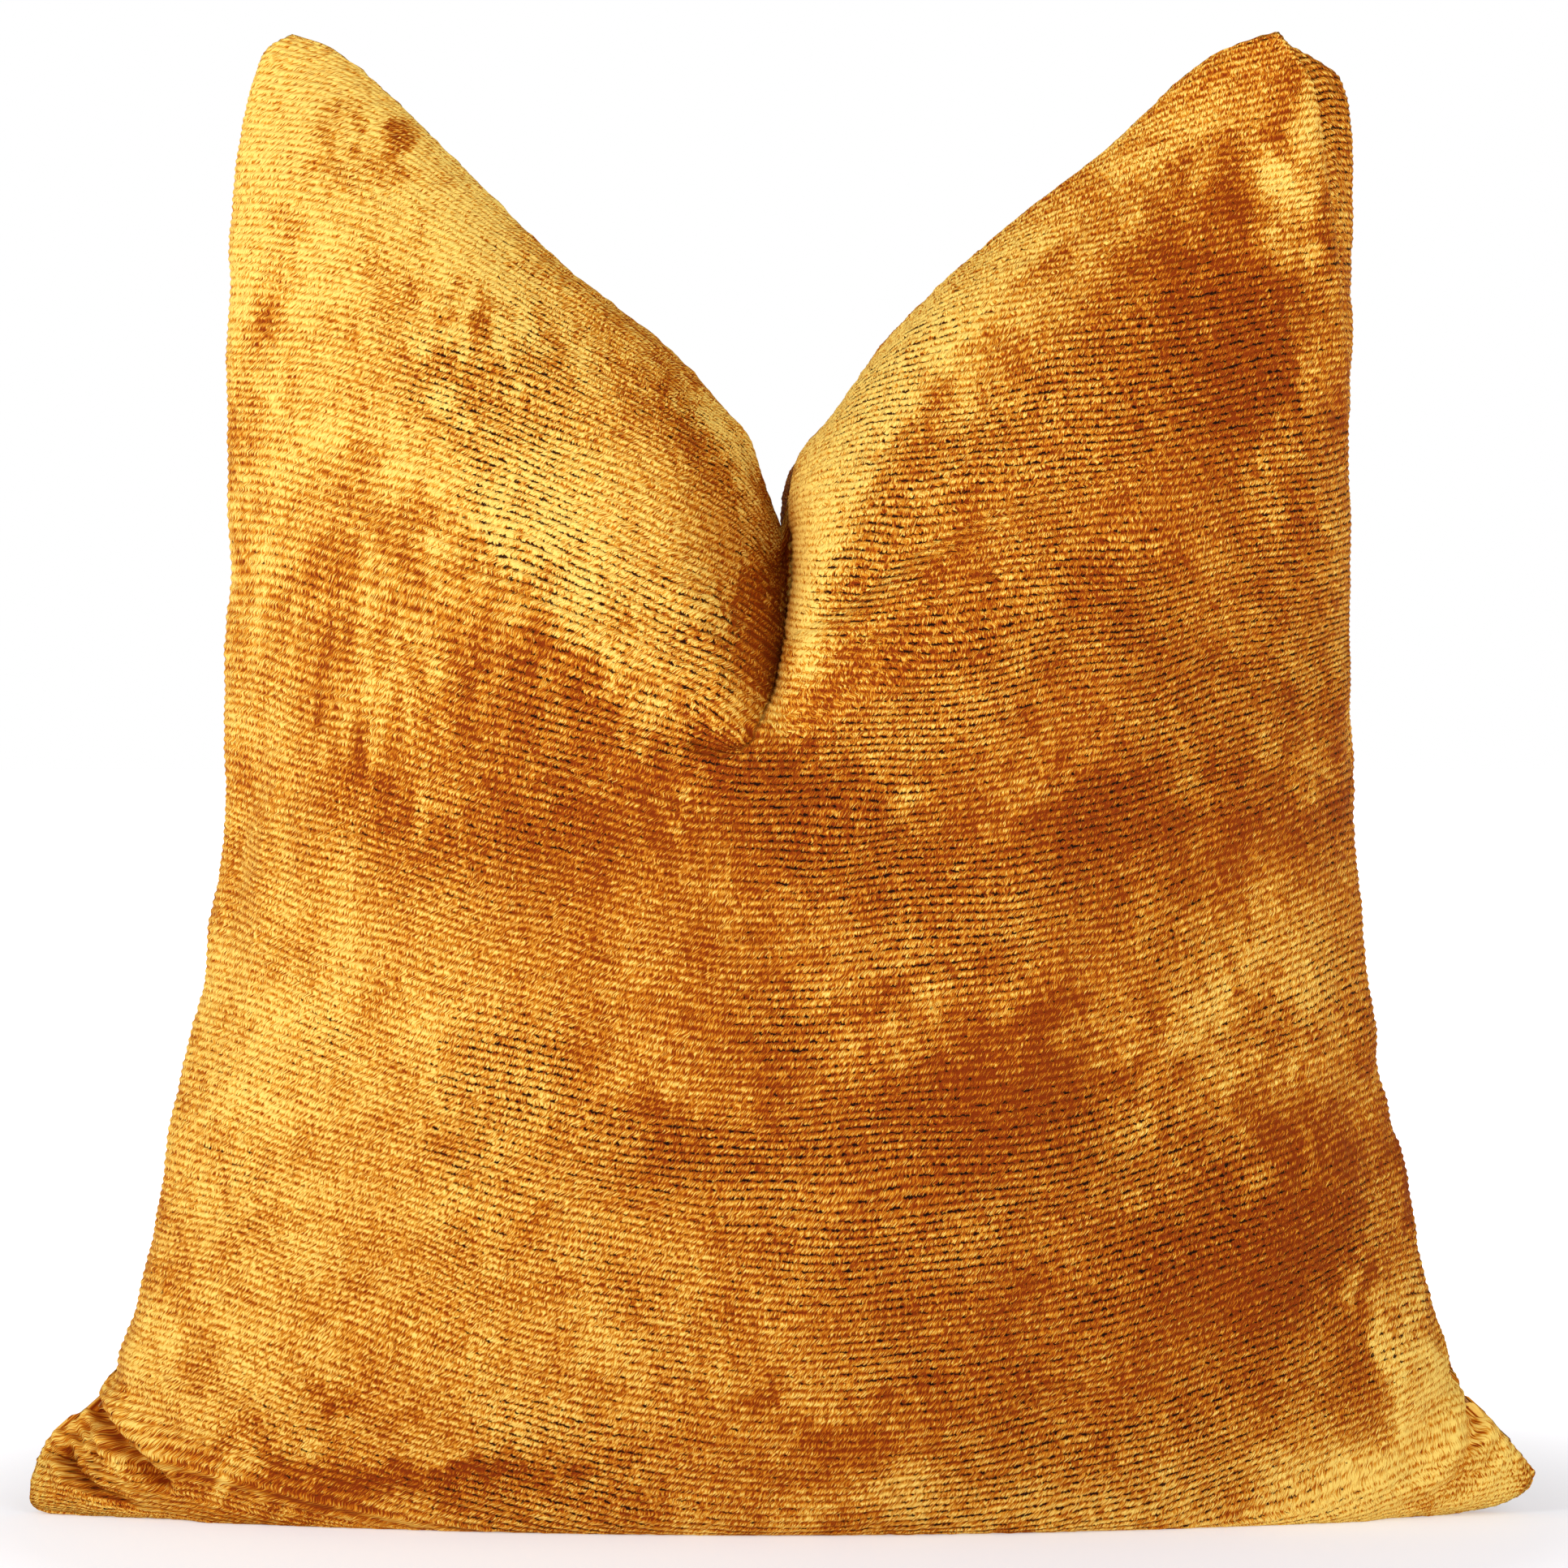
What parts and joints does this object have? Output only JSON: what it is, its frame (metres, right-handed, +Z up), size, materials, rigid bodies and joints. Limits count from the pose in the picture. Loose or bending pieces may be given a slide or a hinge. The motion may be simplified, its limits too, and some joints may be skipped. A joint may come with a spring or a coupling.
{
  "type": "throw pillow",
  "caption": "Square velvet throw pillow standing on its bottom seam with a chopped top, zipped cover and a soft insert.",
  "frame": {"origin": "middle of the footprint, on the surface that the pillow stands on", "axes": "+X across the width to the right as seen from the front, +Y from front to back, +Z up"},
  "size_m": [0.4822, 0.1602, 0.4795],
  "materials": {
    "velvet": "matte",
    "thread": "matte",
    "insert_cotton": "matte",
    "fibre": "matte",
    "zip_tape": "matte",
    "nylon": "satin",
    "brass": "satin"
  },
  "bodies": {
    "pillow": {"front_cover_panel": "velvet", "back_cover_panel": "velvet", "front_insert_casing": "insert_cotton", "back_insert_casing": "insert_cotton", "fibre_fill": "fibre", "front_zip_tape": "zip_tape", "back_zip_tape": "zip_tape", "front_zip_coil": "nylon", "back_zip_coil": "nylon", "front_tape_stitching": "thread", "back_tape_stitching": "thread", "front_top_stop": "brass", "back_top_stop": "brass", "bottom_stop": "brass", "left_seam_thread": "thread", "right_seam_thread": "thread", "top_seam_thread": "thread", "bottom_left_seam_thread": "thread", "bottom_right_seam_thread": "thread", "insert_seam_thread": "insert_cotton"},
    "zip_slider": {"zip_slider": "brass"},
    "zip_pull": {"zip_pull_tab": "brass"}
  },
  "joints": [
    {"name": "zip_slide", "type": "slide", "parent": "pillow", "child": "zip_slider", "axis": [-1, 0, 0], "range_m": [0, 0.33]},
    {"name": "pull_swing", "type": "hinge", "parent": "zip_slider", "child": "zip_pull", "pos_m": [0.166, 0, 0.0026], "axis": [0, -1, 0], "range_deg": [0, 170]}
  ]
}
